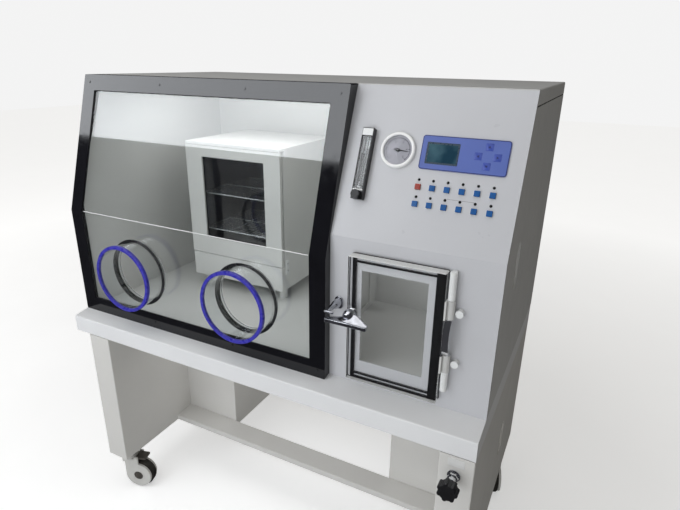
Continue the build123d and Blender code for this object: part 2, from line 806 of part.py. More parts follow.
meter_x, meter_low, meter_high = 909.0, 87.0, 247.0
meter_knob_up = 97.0
meter_bore_low, meter_bore_high = 116.0, 228.0
meter_wide, meter_deep = 27.0, 15.0
meter_axis_out = 8.0  # the bore, in front of the panel
bore_radius, float_radius, float_length = 4.8, 3.6, 10.0


def up_the_meter(up):
    """A plane across the flow meter's bore, its normal up the slope."""
    foot = on_fascia(meter_x, up, meter_axis_out).origin
    return Plane(origin=foot, x_dir=(1, 0, 0), z_dir=(0, sin(fascia_lean), cos(fascia_lean)))


with BuildPart() as rotameter_body:
    with BuildSketch(on_fascia(meter_x, (meter_low + meter_high) / 2, 0)):
        RectangleRounded(meter_wide, meter_high - meter_low, radius=2)
    extrude(amount=meter_deep)
    with BuildSketch(up_the_meter(meter_bore_low)):
        Circle(bore_radius)
    extrude(amount=meter_bore_high - meter_bore_low, mode=Mode.SUBTRACT)
    with BuildSketch(on_fascia(meter_x, meter_knob_up, 3)):
        Circle(3 + fit)
    extrude(amount=30, mode=Mode.SUBTRACT)
rotameter_body.part.label = "rotameter_body"
export_step(rotameter_body.part, "parts/rotameter_body.step")

with BuildPart() as rotameter_float:
    with BuildSketch(up_the_meter(meter_bore_low + gap)):
        Circle(float_radius)
    extrude(amount=float_length)
    chamfer(rotameter_float.edges().sort_by(Axis.Z)[0], length=2)
rotameter_float.part.label = "rotameter_float"
export_step(rotameter_float.part, "parts/rotameter_float.step")

with BuildPart() as rotameter_knob:
    with BuildSketch(on_fascia(meter_x, meter_knob_up, meter_deep + gap)):
        Circle(10)
        with PolarLocations(10.5, 16):
            Circle(1.2, mode=Mode.SUBTRACT)
    extrude(amount=13)
    with BuildSketch(on_fascia(meter_x, meter_knob_up, 4)):
        Circle(3)
    extrude(amount=14)
rotameter_knob.part.label = "rotameter_knob"
export_step(rotameter_knob.part, "parts/rotameter_knob.step")


# ---------------------------------------------------------------------------
# Purge gas valve on the right leg, and fittings on the back
# ---------------------------------------------------------------------------
valve = (left + 1207, 552.0)
stem_radius = 4.0
knob_thick = 22.0
knob_back = front - valve_reach + knob_thick

with BuildPart() as valve_body:
    bar((valve[0], front, valve[1]), (0, -1, 0), 15, 3)
    with BuildSketch(Plane.XZ.offset(-(front - 3))):
        with Locations(valve):
            RegularPolygon(12.5, 6)
    extrude(amount=9)
    bar((valve[0], front - 12, valve[1]), (0, -1, 0), 8.5, 12)
    bar((valve[0], front - 24, valve[1]), (0, -1, 0), 6.5, 10)
    bar((valve[0], front - 34, valve[1]), (0, -1, 0), stem_radius, 14)
valve_body.part.label = "valve_body"
export_step(valve_body.part, "parts/valve_body.step")

with BuildPart() as valve_knob:
    with BuildSketch(Plane.XZ.offset(-knob_back)):
        with Locations(valve):
            Circle(19.5)
            with PolarLocations(18, 7):
                Circle(5.5)
    extrude(amount=knob_thick)
    fillet(valve_knob.faces().sort_by(Axis.Y)[0].edges(), radius=2)
    bar((valve[0], knob_back + 1, valve[1]), (0, -1, 0), stem_radius + fit, 12, Mode.SUBTRACT)
valve_knob.part.label = "valve_knob"
export_step(valve_knob.part, "parts/valve_knob.step")

with BuildPart() as rear_fittings:
    for x in (940.0, 1010.0):  # barbed hose connectors
        bar((left + x, back, 1200), (0, 1, 0), 11, 4)
        with BuildSketch(Plane.XZ.offset(-(back + 4))):
            with Locations((left + x, 1200)):
                RegularPolygon(9, 6)
        extrude(amount=-6)
        bar((left + x, back + 10, 1200), (0, 1, 0), 5, fitting_reach - 10)
        bar((left + x, back, 1200), (0, 1, 0), 2.5, 30, Mode.SUBTRACT)
    block((left + 1130, left + 1180), (back, back + 4), (740, 772))
    block((left + 1136, left + 1174), (back + 4, back + 12), (744, 768))
    block((left + 1139, left + 1171), (back + 2, back + 13), (747, 765), Mode.SUBTRACT)
rear_fittings.part.label = "rear_fittings"
export_step(rear_fittings.part, "parts/rear_fittings.step")


# ---------------------------------------------------------------------------
# Casters. Each is built in its own frame: X trails, Y is the wheel's axle.
# ---------------------------------------------------------------------------
plate_size, plate_thick = 66.0, 4.0
neck_radius = 8.0
cup_bottom, crown_top = 128.0, 127.0
pedal_pivot = (30.0, 119.0)
pedal_half_width = 17.5
along_y = (90, 0, 0)

with BuildPart() as caster_plates:
    for x, y, _ in casters.values():
        spot = (left + x, front + y)
        block(
            (spot[0] - plate_size / 2, spot[0] + plate_size / 2),
            (spot[1] - plate_size / 2, spot[1] + plate_size / 2),
            (leg_bottom - plate_thick, leg_bottom),
        )
        bar((*spot, cup_bottom), (0, 0, 1), 23, leg_bottom - plate_thick - cup_bottom)
        bar((*spot, cup_bottom - 1), (0, 0, 1), neck_radius + fit, 15, Mode.SUBTRACT)
caster_plates.part.label = "caster_plates"
export_step(caster_plates.part, "parts/caster_plates.step")

for name, (x, y, turn) in casters.items():
    swivel = Plane(
        origin=(left + x, front + y, 0),
        x_dir=(cos(radians(turn)), sin(radians(turn)), 0),
        z_dir=(0, 0, 1),
    )
    hub = (caster_trail, 0, wheel_radius)

    with BuildPart(swivel) as fork:
        with Locations((0, 0, (cup_bottom + 141) / 2 - 1)):
            Cylinder(neck_radius, 141 - cup_bottom + 2)
        with Locations((0, 0, 119.5)):
            Cylinder(24, 2 * (crown_top - 119.5))
        with Locations((2, 0, 109)):
            Box(44, 2 * cheek_out, 14)
        for side in (-1, 1):
            across = side * (cheek_in + cheek_out) / 2
            with Locations((caster_trail, across, wheel_radius)):
                Cylinder(cheek_radius, cheek_thick, rotation=along_y)
            with Locations((6, across, 85)):
                Box(36, cheek_thick, 60)
            with Locations((pedal_pivot[0], side * 20.2, 105)):  # ear that holds the pedal
                Box(14, 2 * (cheek_out - 20.2), 40)
        with Locations(hub):
            Cylinder(4, 2 * cheek_out, rotation=along_y)
        if name.endswith("front"):
            with Locations((pedal_pivot[0], 0, pedal_pivot[1])):
                Cylinder(2, 2 * cheek_out, rotation=along_y)
    fork.part.label = f"caster_fork_{name}"
    export_step(fork.part, f"parts/caster_fork_{name}.step")

    with BuildPart(swivel) as wheel:
        with Locations(hub):
            Cylinder(wheel_radius, wheel_width, rotation=along_y)
        fillet(wheel.edges().filter_by(GeomType.CIRCLE), radius=5)
        with Locations(hub):
            Cylinder(4 + fit, wheel_width + 10, rotation=along_y, mode=Mode.SUBTRACT)
    wheel.part.label = f"caster_wheel_{name}"
    export_step(wheel.part, f"parts/caster_wheel_{name}.step")

    if name.endswith("front"):
        with BuildPart(swivel) as pedal:
            with Locations((pedal_pivot[0] + 16, 0, pedal_pivot[1])):
                Box(34, 2 * pedal_half_width, 6)
            with Locations((pedal_pivot[0], 0, pedal_pivot[1])):
                Cylinder(4.5, 2 * pedal_half_width, rotation=along_y)
            fillet(pedal.edges().filter_by(Axis.Z), radius=2)
            with Locations((pedal_pivot[0], 0, pedal_pivot[1])):
                Cylinder(2 + fit, 60, rotation=along_y, mode=Mode.SUBTRACT)
        pedal.part.label = f"brake_pedal_{name}"
        export_step(pedal.part, f"parts/brake_pedal_{name}.step")
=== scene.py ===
import math

import bmesh
import bpy
from mathutils import Matrix, Vector


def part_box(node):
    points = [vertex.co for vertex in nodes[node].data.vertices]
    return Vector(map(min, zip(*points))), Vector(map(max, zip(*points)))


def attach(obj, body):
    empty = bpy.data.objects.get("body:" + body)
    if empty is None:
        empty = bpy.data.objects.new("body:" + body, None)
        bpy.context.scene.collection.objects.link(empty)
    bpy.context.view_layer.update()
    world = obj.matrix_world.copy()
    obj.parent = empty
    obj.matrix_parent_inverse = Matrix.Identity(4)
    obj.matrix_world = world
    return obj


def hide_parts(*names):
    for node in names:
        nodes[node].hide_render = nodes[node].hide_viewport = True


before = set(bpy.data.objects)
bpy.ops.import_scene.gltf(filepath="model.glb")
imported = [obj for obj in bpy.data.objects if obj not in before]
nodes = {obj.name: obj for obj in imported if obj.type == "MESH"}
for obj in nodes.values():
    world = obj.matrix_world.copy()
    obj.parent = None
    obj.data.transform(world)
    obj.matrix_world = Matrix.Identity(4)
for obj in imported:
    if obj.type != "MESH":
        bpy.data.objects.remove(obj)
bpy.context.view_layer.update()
mm = 0.001

# ---------------------------------------------------------------------------
# Places read from the CAD frame
# ---------------------------------------------------------------------------
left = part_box("case_shell")[0].x
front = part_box("table")[0].y
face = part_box("fascia")[0].y
bend_z = 1.035
fascia_lean = math.atan2(131, 325)
window_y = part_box("window_frame")[0].y
window_bend = 0.982
window_lean = math.atan2(116, 378)
facing_front = Matrix.Rotation(math.pi / 2, 4, "X")  # X right, Y up, Z to the front
facing_right = Matrix.Rotation(math.pi / 2, 4, "Y")  # Z to the right


def panel(x, up, out=0.0):
    """A point on the leaning control panel, in millimetres: x from the case's left side, up the
    slope, out to the front."""
    slope = Vector((0, math.sin(fascia_lean), math.cos(fascia_lean)))
    normal = Vector((0, -math.cos(fascia_lean), math.sin(fascia_lean)))
    return Vector((left + x * mm, face, bend_z)) + slope * up * mm + normal * out * mm


panel_turn = Matrix.Rotation(math.pi / 2 - fascia_lean, 4, "X")  # X right, Y up the slope, Z out


def panel_frame(x, up, out=0.0):
    return Matrix.Translation(panel(x, up, out)) @ panel_turn


def front_frame(x, y, z):
    """X right, Y up, Z to the front, at a point in millimetres from the case's left and the
    table's front."""
    return Matrix.Translation((left + x * mm, front + y * mm, z * mm)) @ facing_front


# ---------------------------------------------------------------------------
# Materials
# ---------------------------------------------------------------------------
def shader(name):
    made = bpy.data.materials.new(name)
    made.use_nodes = True
    tree = made.node_tree
    return made, tree, tree.nodes["Principled BSDF"], tree.links.new


def noise(tree, scale, detail=4.0, stretch=(1, 1, 1), offset=(0, 0, 0)):
    coords = tree.nodes.new("ShaderNodeTexCoord")
    mapping = tree.nodes.new("ShaderNodeMapping")
    mapping.inputs["Scale"].default_value = stretch
    mapping.inputs["Location"].default_value = offset
    texture = tree.nodes.new("ShaderNodeTexNoise")
    texture.inputs["Scale"].default_value = scale
    texture.inputs["Detail"].default_value = detail
    tree.links.new(coords.outputs["Object"], mapping.inputs["Vector"])
    tree.links.new(mapping.outputs["Vector"], texture.inputs["Vector"])
    return texture.outputs["Fac"]


def spread(tree, source, low, high, start=0.3, end=0.7):
    ranged = tree.nodes.new("ShaderNodeMapRange")
    for name, value in (("From Min", start), ("From Max", end), ("To Min", low), ("To Max", high)):
        ranged.inputs[name].default_value = value
    tree.links.new(source, ranged.inputs["Value"])
    return ranged.outputs["Result"]


def blend_colour(tree, factor, first, second):
    mix = tree.nodes.new("ShaderNodeMix")
    mix.data_type = "RGBA"
    for socket, value in ((mix.inputs[6], first), (mix.inputs[7], second)):
        if isinstance(value, bpy.types.NodeSocket):
            tree.links.new(value, socket)
        else:
            socket.default_value = (*value, 1)
    tree.links.new(factor, mix.inputs[0])
    return mix.outputs[2]


def bumped(tree, bsdf, height, strength, distance):
    bump = tree.nodes.new("ShaderNodeBump")
    bump.inputs["Strength"].default_value = strength
    bump.inputs["Distance"].default_value = distance
    tree.links.new(height, bump.inputs["Height"])
    tree.links.new(bump.outputs["Normal"], bsdf.inputs["Normal"])


def surface(
    name, colour, rough=0.4, rough_by=0.06, metal=0.0, tint=0.04, cloud=5.0,
    grain=0.15, grain_scale=900.0, grain_depth=0.0002, coat=0.0, stretch=(1, 1, 1),
):
    made, tree, bsdf, link = shader(name)
    darker = tuple(c * (1 - tint) for c in colour)
    lighter = tuple(min(1.0, c * (1 + tint)) for c in colour)
    clouds = spread(tree, noise(tree, cloud, 6, stretch), 0, 1)
    link(blend_colour(tree, clouds, darker, lighter), bsdf.inputs["Base Color"])
    smudge = noise(tree, cloud * 4, 5, stretch, (3, 1, 2))
    link(spread(tree, smudge, rough - rough_by, rough + rough_by), bsdf.inputs["Roughness"])
    bsdf.inputs["Metallic"].default_value = metal
    bsdf.inputs["Coat Weight"].default_value = coat
    bsdf.inputs["Coat Roughness"].default_value = 0.08
    bumped(tree, bsdf, noise(tree, grain_scale, 2, stretch), grain, grain_depth)
    return made


def maths(tree, operation, first, second):
    """A Math node between two operands, each a socket or a number."""
    made = tree.nodes.new("ShaderNodeMath")
    made.operation = operation
    for socket, value in zip(made.inputs, (first, second)):
        if isinstance(value, bpy.types.NodeSocket):
            tree.links.new(value, socket)
        else:
            socket.default_value = value
    return made.outputs[0]


def clear(name, colour, rough=0.01, rough_by=0.01, ior=1.49, lets_light=True):
    """Clear plastic or glass, with faint smears, that lets the lamps through."""
    made, tree, bsdf, link = shader(name)
    bsdf.inputs["Base Color"].default_value = (*colour, 1)
    bsdf.inputs["Transmission Weight"].default_value = 1
    bsdf.inputs["IOR"].default_value = ior
    smears = noise(tree, 9, 6, (1, 1, 2.5))
    link(spread(tree, smears, rough, rough + rough_by, 0.45, 0.75), bsdf.inputs["Roughness"])
    if lets_light:
        rays = tree.nodes.new("ShaderNodeLightPath")
        shadow, diffuse = rays.outputs["Is Shadow Ray"], rays.outputs["Is Diffuse Ray"]
        through = tree.nodes.new("ShaderNodeBsdfTransparent")
        through.inputs["Color"].default_value = (*(0.95 * c for c in colour), 1)
        mix = tree.nodes.new("ShaderNodeMixShader")
        link(maths(tree, "MAXIMUM", shadow, diffuse), mix.inputs["Fac"])
        link(bsdf.outputs["BSDF"], mix.inputs[1])
        link(through.outputs["BSDF"], mix.inputs[2])
        link(mix.outputs["Shader"], tree.nodes["Material Output"].inputs["Surface"])
    return made


def axes_of(tree, output):
    """X, Y and Z of one output of the texture coordinates, in the CAD frame."""
    coords = tree.nodes.new("ShaderNodeTexCoord")
    split = tree.nodes.new("ShaderNodeSeparateXYZ")
    tree.links.new(coords.outputs[output], split.inputs["Vector"])
    return split.outputs


def masked_finish(name, limits, inner, outer, cloud, wear, grain):
    """One finish inside a box of the CAD frame, {axis: (low, high)}, and another outside it.
    Each finish is (colour, roughness, metallic)."""
    made, tree, bsdf, link = shader(name)
    place = axes_of(tree, "Object")
    inside = 1
    for axis, (low, high) in limits.items():
        above = maths(tree, "GREATER_THAN", place[axis], low)
        below = maths(tree, "LESS_THAN", place[axis], high)
        inside = maths(tree, "MULTIPLY", inside, maths(tree, "MULTIPLY", above, below))
    clouds = spread(tree, noise(tree, cloud, 5), 0, 1)
    tints = []
    for colour, _, _ in (outer, inner):
        tints.append(blend_colour(tree, clouds, tuple(c * (1 - wear) for c in colour), colour))
    link(blend_colour(tree, inside, *tints), bsdf.inputs["Base Color"])
    for socket, i in (("Roughness", 1), ("Metallic", 2)):
        link(spread(tree, inside, outer[i], inner[i], 0, 1), bsdf.inputs[socket])
    bumped(tree, bsdf, noise(tree, 700, 2), grain, 0.0002)
    return made


def edged_acrylic(name, colour):
    """Clear plastic whose sawn top, bottom and left edges are frosted."""
    made = clear(name, colour, 0.01, 0.03)
    tree = made.node_tree
    link = tree.links.new
    bsdf = tree.nodes["Principled BSDF"]
    normal = axes_of(tree, "Normal")
    facing = 0.6
    up = maths(tree, "GREATER_THAN", normal["Z"], facing)
    down = maths(tree, "LESS_THAN", normal["Z"], -facing)
    leftward = maths(tree, "LESS_THAN", normal["X"], -facing)
    edge = maths(tree, "MAXIMUM", maths(tree, "MAXIMUM", up, down), leftward)
    saw = noise(tree, 240, 3, (1, 1, 6))
    frost = blend_colour(tree, spread(tree, saw, 0, 1), (0.80, 0.81, 0.81), (0.93, 0.93, 0.92))
    link(blend_colour(tree, edge, colour, frost), bsdf.inputs["Base Color"])
    link(spread(tree, edge, 0.015, 0.5, 0, 1), bsdf.inputs["Roughness"])
    link(spread(tree, edge, 1, 0.25, 0, 1), bsdf.inputs["Transmission Weight"])
    return made


case_paint = surface(
    "case_paint", (0.60, 0.60, 0.59), 0.38, tint=0.025, grain=0.12, grain_scale=650
)
# Bluish grey for the fascia, its brightness lowered to paint in less light on the leaning panel:
# painted shade
panel_paint_painted_shade = surface(
    "panel_paint_painted_shade", (0.57, 0.575, 0.60), 0.33, tint=0.02, grain=0.10, grain_scale=700
)
# The case paint made brighter for the table, so that its ledge and front look more strongly lit:
# painted light
table_paint_painted_light = surface(
    "table_paint_painted_light", (0.77, 0.775, 0.785), 0.38, tint=0.025, grain=0.12, grain_scale=650
)
# The stand's warm cream tint paints in warm light from below: painted light
stand_paint = surface(
    "stand_paint", (0.67, 0.66, 0.635), 0.42, tint=0.035, grain=0.14, grain_scale=600
)
liner_paint = surface(
    "liner_paint", (0.66, 0.665, 0.65), 0.36, tint=0.03, grain=0.1, grain_scale=600
)
frame_black = surface(
    "frame_black", (0.006, 0.006, 0.008), 0.07, 0.03, tint=0.2, cloud=14, grain=0.03, grain_scale=60
)
flange_black = surface("flange_black", (0.012, 0.012, 0.014), 0.3, 0.08, tint=0.15, grain=0.2)
cuff_blue = surface("cuff_blue", (0.045, 0.040, 0.40), 0.28, 0.06, tint=0.08, cloud=20, grain=0.1)
rubber = surface(
    "seal_rubber", (0.010, 0.010, 0.011), 0.55, 0.1, tint=0.3, cloud=60, grain=0.5, grain_scale=1400
)
chrome = surface("chrome", (0.80, 0.81, 0.83), 0.10, 0.05, metal=1, tint=0.03, cloud=40, grain=0.03)
# Darker chrome whose base colour is mottled strongly dark and bright, standing in for the latch's
# patchy reflections, highlight and dark side: painted reflections
chrome_painted_reflections = surface(
    "chrome_painted_reflections", (0.56, 0.57, 0.61), 0.12, 0.06, metal=1, tint=0.45, cloud=34, grain=0.06
)
steel = surface(
    "dull_steel", (0.45, 0.45, 0.46), 0.30, 0.08, metal=1, tint=0.08, cloud=60, grain=0.1
)
brushed = surface(
    "brushed_plate", (0.78, 0.78, 0.77), 0.38, 0.08, metal=0.15, tint=0.05, grain=0.35,
    grain_scale=300, stretch=(1, 20, 20),
)
black_plastic = surface(
    "black_plastic", (0.012, 0.012, 0.013), 0.35, 0.08, tint=0.2, cloud=50, grain=0.35
)
grey_plastic = surface(
    "grey_plastic", (0.60, 0.595, 0.57), 0.36, 0.08, tint=0.05, cloud=30, grain=0.25
)
tyre_rubber = surface("tyre_rubber", (0.028, 0.025, 0.021), 0.6, 0.1, tint=0.3, cloud=60, grain=0.6)
caster_dark = surface(
    "caster_dark", (0.075, 0.068, 0.060), 0.40, 0.1, tint=0.2, cloud=60, grain=0.3
)
overlay_blue = surface(
    "overlay_blue", (0.100, 0.150, 0.450), 0.34, 0.05, tint=0.04, cloud=12, grain=0.2,
    grain_scale=1600,
)
overlay_navy = surface("overlay_navy", (0.020, 0.028, 0.150), 0.35, 0.05, tint=0.1, cloud=60)
key_blue = surface("key_blue", (0.050, 0.085, 0.400), 0.35, 0.05, tint=0.08, cloud=80)
button_blue = surface(
    "button_blue", (0.020, 0.105, 0.320), 0.22, 0.05, tint=0.1, cloud=90, grain=0.1
)
button_red = surface("button_red", (0.330, 0.050, 0.035), 0.22, 0.05, tint=0.1, cloud=90, grain=0.1)
lamp_dark = surface("lamp_dark", (0.010, 0.010, 0.010), 0.12, 0.04, tint=0.2, cloud=90, grain=0.05)
ink = surface("ink", (0.015, 0.015, 0.020), 0.5, 0.05, tint=0.15, cloud=90)
white_plastic = surface(
    "white_plastic", (0.80, 0.81, 0.81), 0.25, 0.05, tint=0.03, cloud=30, grain=0.1
)
dial_paper = surface("dial_paper", (0.40, 0.40, 0.45), 0.45, 0.05, tint=0.06, cloud=25, grain=0.1)
brass = surface("brass", (0.52, 0.38, 0.14), 0.28, 0.08, metal=1, tint=0.1, cloud=60, grain=0.1)
acrylic = clear("acrylic", (0.97, 0.985, 0.985), 0.01, 0.03)
port_acrylic = clear("port_acrylic", (0.90, 0.92, 0.93), 0.04, 0.08)
oven_glass = clear("oven_glass", (0.88, 0.90, 0.90), 0.01, 0.02, 1.52)
meter_acrylic = clear("meter_acrylic", (0.93, 0.95, 0.95), 0.02, 0.04)
dial_glass = clear("dial_glass", (0.98, 0.98, 0.98), 0.01, 0.01, 1.18)
wire_steel = surface(
    "wire_steel", (0.78, 0.79, 0.80), 0.25, 0.05, metal=0.6, tint=0.04, cloud=60, grain=0.05
)
gauge_white = surface(
    "gauge_white", (0.90, 0.90, 0.90), 0.22, 0.04, tint=0.01, cloud=30, grain=0.05
)
door_acrylic = edged_acrylic("door_acrylic", (0.98, 0.985, 0.985))
strap_low, strap_high = 0.8105, 0.8975  # the hinge's bright strap lies between these heights
hinge_finish = masked_finish(
    "hinge_finish",
    {"Z": (strap_low, strap_high)},
    inner=((0.80, 0.81, 0.83), 0.10, 1.0),
    outer=((0.66, 0.66, 0.65), 0.32, 0.0),
    cloud=40, wear=0.08, grain=0.08,
)
oven_low, oven_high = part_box("incubator_body")
oven_wall, oven_base = 0.02, 0.09
# Inside the incubator's walls the finish is metallic steel, darkened to 0.26 as painted shade in
# the cavity; outside it is the white paint
oven_paint = masked_finish(
    "oven_paint",
    {
        "X": (oven_low.x + oven_wall, oven_high.x - oven_wall),
        "Y": (oven_low.y + oven_wall, oven_high.y - oven_wall),
        "Z": (oven_low.z + oven_base, oven_high.z - oven_wall),
    },
    inner=((0.26, 0.26, 0.29), 0.3, 1.0),
    outer=((0.68, 0.68, 0.66), 0.35, 0.0),
    cloud=7, wear=0.05, grain=0.1,
)

finishes = {
    "left_pedestal": stand_paint,
    "right_pedestal": stand_paint,
    "cross_rail": stand_paint,
    "table": table_paint_painted_light,
    "case_shell": case_paint,
    "right_cover": case_paint,
    "chamber_liner": liner_paint,
    "partition_wall": liner_paint,
    "fascia": panel_paint_painted_shade,
    "window_frame": frame_black,
    "window_pane": acrylic,
    "frame_screws": frame_black,
    "port_tubes": port_acrylic,
    "port_flanges": flange_black,
    "port_rings": cuff_blue,
    "transfer_box": liner_paint,
    "outer_door": door_acrylic,
    "door_gasket": rubber,
    "door_hinge_posts": white_plastic,
    "door_hinge_leaf": hinge_finish,
    "latch_base": chrome,
    "latch_lever": chrome,
    "latch_keeper": chrome,
    "inner_door": liner_paint,
    "incubator_body": oven_paint,
    "incubator_door": oven_paint,
    "incubator_glass": oven_glass,
    "incubator_shelves": wire_steel,
    "rotameter_body": meter_acrylic,
    "rotameter_float": steel,
    "rotameter_knob": black_plastic,
    "gauge_case": white_plastic,
    "gauge_needle": ink,
    "display_panel": overlay_blue,
    "valve_body": chrome,
    "valve_knob": black_plastic,
    "caster_plates": caster_dark,
    "rear_fittings": brass,
}
for name, node in nodes.items():
    if name in finishes:
        finish = finishes[name]
    elif name.startswith("button"):
        finish = button_red if name == "button_01" else button_blue
    elif name.startswith("caster_fork"):
        finish = grey_plastic
    elif name.startswith("caster_wheel"):
        finish = tyre_rubber
    else:
        finish = caster_dark
    node.data.materials.clear()
    node.data.materials.append(finish)


# ---------------------------------------------------------------------------
# Making pieces
# ---------------------------------------------------------------------------
def piece(name, mesh, body, finish, smooth_angle=40):
    """Turns a bmesh into a piece that rides on a body."""
    data = bpy.data.meshes.new(name)
    bmesh.ops.recalc_face_normals(mesh, faces=mesh.faces)
    mesh.to_mesh(data)
    mesh.free()
    data.polygons.foreach_set("use_smooth", [True] * len(data.polygons))
    data.set_sharp_from_angle(angle=math.radians(smooth_angle))
    data.materials.append(finish)
    made = bpy.data.objects.new(name, data)
    bpy.context.scene.collection.objects.link(made)
    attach(made, body)
    return made


def skin(mesh, rings, capped=True):
    """Faces between rings of the same number of points, closed at both ends if capped."""
    count = len(rings[0])
    for a, b in zip(rings, rings[1:]):
        for i in range(count):
            j = (i + 1) % count
            mesh.faces.new((a[i], a[j], b[j], b[i]))
    if capped:
        mesh.faces.new(rings[0][::-1])
        mesh.faces.new(rings[-1])


def lathe(mesh, place, profile, steps=48):
    """A turned shape: (radius, height) points in millimetres, turned about the place's Z axis."""
    rings = []
    for radius, height in profile:
        if radius < 1e-6:
            rings.append([mesh.verts.new(place @ Vector((0, 0, height * mm)))])
            continue
        ring = []
        for i in range(steps):
            turn = 2 * math.pi * i / steps
            point = Vector((radius * math.cos(turn), radius * math.sin(turn), height)) * mm
            ring.append(mesh.verts.new(place @ point))
        rings.append(ring)
    for a, b in zip(rings, rings[1:]):
        for i in range(steps):
            j = (i + 1) % steps
            if len(a) == 1:
                mesh.faces.new((a[0], b[j], b[i]))
            elif len(b) == 1:
                mesh.faces.new((a[i], a[j], b[0]))
            else:
                mesh.faces.new((a[i], a[j], b[j], b[i]))


def rounded(width, height, radius, steps=6):
    """Corner points of a rounded rectangle, in millimetres."""
    points = []
    for cx, cy, start in (
        (width / 2 - radius, height / 2 - radius, 0),
        (-width / 2 + radius, height / 2 - radius, 90),
        (-width / 2 + radius, -height / 2 + radius, 180),
        (width / 2 - radius, -height / 2 + radius, 270),
    ):
        for i in range(steps + 1):
            turn = math.radians(start + 90 * i / steps)
            points.append((cx + radius * math.cos(turn), cy + radius * math.sin(turn)))
    return points


def slab(mesh, place, outline, low, high, round_off=0.3):
    """An outline given thickness along the place's Z axis, with its upper edge eased."""
    size = max(max(abs(x), abs(y)) for x, y in outline)
    inset = 1 - round_off / size
    eased = inset + (1 - inset) * 0.3
    layers = [(1, low), (1, high - round_off), (eased, high - round_off * 0.3), (inset, high)]
    rings = []
    for share, height in layers:
        points = [Vector((x * share, y * share, height)) * mm for x, y in outline]
        rings.append([mesh.verts.new(place @ point) for point in points])
    skin(mesh, rings)


def band(mesh, place, outer, inner, low, high):
    """A flat ring between two outlines with the same number of points."""
    rings = []
    for outline, height in ((outer, low), (outer, high), (inner, high), (inner, low)):
        rings.append([mesh.verts.new(place @ (Vector((x, y, height)) * mm)) for x, y in outline])
    skin(mesh, rings + rings[:1], capped=False)


def bead(mesh, path, radius, sides=10, closed=True):
    """A round bead that follows a path of points in metres."""
    count = len(path)
    rings = []
    for i, point in enumerate(path):
        before = path[i - 1] if closed or i else path[i]
        after = path[(i + 1) % count] if closed or i < count - 1 else path[i]
        along = (after - before).normalized()
        side = along.cross(Vector((0, -1, 0.2))).normalized()
        up = side.cross(along)
        ring = []
        for k in range(sides):
            turn = 2 * math.pi * k / sides
            outward = side * math.cos(turn) + up * math.sin(turn)
            ring.append(mesh.verts.new(point + outward * radius * mm))
        rings.append(ring)
    skin(mesh, rings + rings[:1] if closed else rings, capped=not closed)


def loft(mesh, place, sections, sides=20):
    """A closed shape through oval sections across the place's X axis, each (x, y, z, half depth,
    half height)."""
    rings = []
    for x, y, z, deep, high in sections:
        ring = []
        for k in range(sides):
            turn = 2 * math.pi * k / sides
            point = Vector((x, y + deep * math.cos(turn), z + high * math.sin(turn))) * mm
            ring.append(mesh.verts.new(place @ point))
        rings.append(ring)
    skin(mesh, rings)


def tube(mesh, place, path, radii, sides=16):
    """A round bar through points in millimetres, with its own radius at each point."""
    points = [Vector(p) for p in path]
    rings = []
    for i, point in enumerate(points):
        along = points[min(i + 1, len(points) - 1)] - points[max(i - 1, 0)]
        side = along.cross(Vector((0.1, 1, 0.15))).normalized()
        up = side.cross(along).normalized()
        ring = []
        for k in range(sides):
            turn = 2 * math.pi * k / sides
            outward = side * math.cos(turn) + up * math.sin(turn)
            ring.append(mesh.verts.new(place @ ((point + outward * radii[i]) * mm)))
        rings.append(ring)
    skin(mesh, rings)


def lettering(name, text, place, size, body, finish):
    """Figures for a dial, as thin raised mesh."""
    curve = bpy.data.curves.new(name, "FONT")
    curve.body = text
    curve.size = size * mm
    curve.extrude = 0.05 * mm
    curve.align_x = "CENTER"
    curve.align_y = "CENTER"
    source = bpy.data.objects.new(name + "_text", curve)
    bpy.context.scene.collection.objects.link(source)
    source.matrix_world = place
    bpy.context.view_layer.update()
    seen = source.evaluated_get(bpy.context.evaluated_depsgraph_get())
    data = bpy.data.meshes.new_from_object(seen)
    data.transform(place)
    bpy.data.objects.remove(source)
    data.materials.clear()
    data.materials.append(finish)
    made = bpy.data.objects.new(name, data)
    bpy.context.scene.collection.objects.link(made)
    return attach(made, body)


# ---------------------------------------------------------------------------
# Window: seal bead round the pane, white bead along its bend as a painted highlight
# ---------------------------------------------------------------------------
def on_pane(x, z, out=0.0):
    """A point on the pane's outer face, out to the front in millimetres."""
    if z <= window_bend:
        return Vector((left + x, window_y + 0.004 - out * mm, z))
    rise = z - window_bend
    foot = Vector((left + x, window_y + 0.004 + rise * math.tan(window_lean), z))
    return foot + Vector((0, -math.cos(window_lean), math.sin(window_lean))) * out * mm


opening_left, opening_right = 0.0445, 0.8115
opening_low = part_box("window_pane")[0].z + 0.0125
opening_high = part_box("window_pane")[1].z - 0.0125
corner = 0.003
bend_highlight_gap = 0.0035
path = []
for x, z, start in (
    (opening_right - corner, opening_high - corner, 0),
    (opening_left + corner, opening_high - corner, 90),
    (opening_left + corner, opening_low + corner, 180),
    (opening_right - corner, opening_low + corner, 270),
):
    for i in range(7):
        turn = math.radians(start + 15 * i)
        path.append(on_pane(x + corner * math.cos(turn), z + corner * math.sin(turn)))
    if start == 90:
        path.append(on_pane(opening_left, window_bend))
    if start == 270:
        path.append(on_pane(opening_right, window_bend))
mesh = bmesh.new()
bead(mesh, path, 1.8)
piece("window_seal", mesh, "cabinet", rubber)

# A thin white bead along the pane's bend paints in the highlight of the bent acrylic: painted
# highlight
mesh = bmesh.new()
bend_highlight = [on_pane(opening_left + bend_highlight_gap + 0.76 * i / 12, window_bend, 0.3) for i in range(13)]
bead(mesh, bend_highlight, 1.1, 8, closed=False)
piece("window_bend_highlight", mesh, "cabinet", white_plastic)

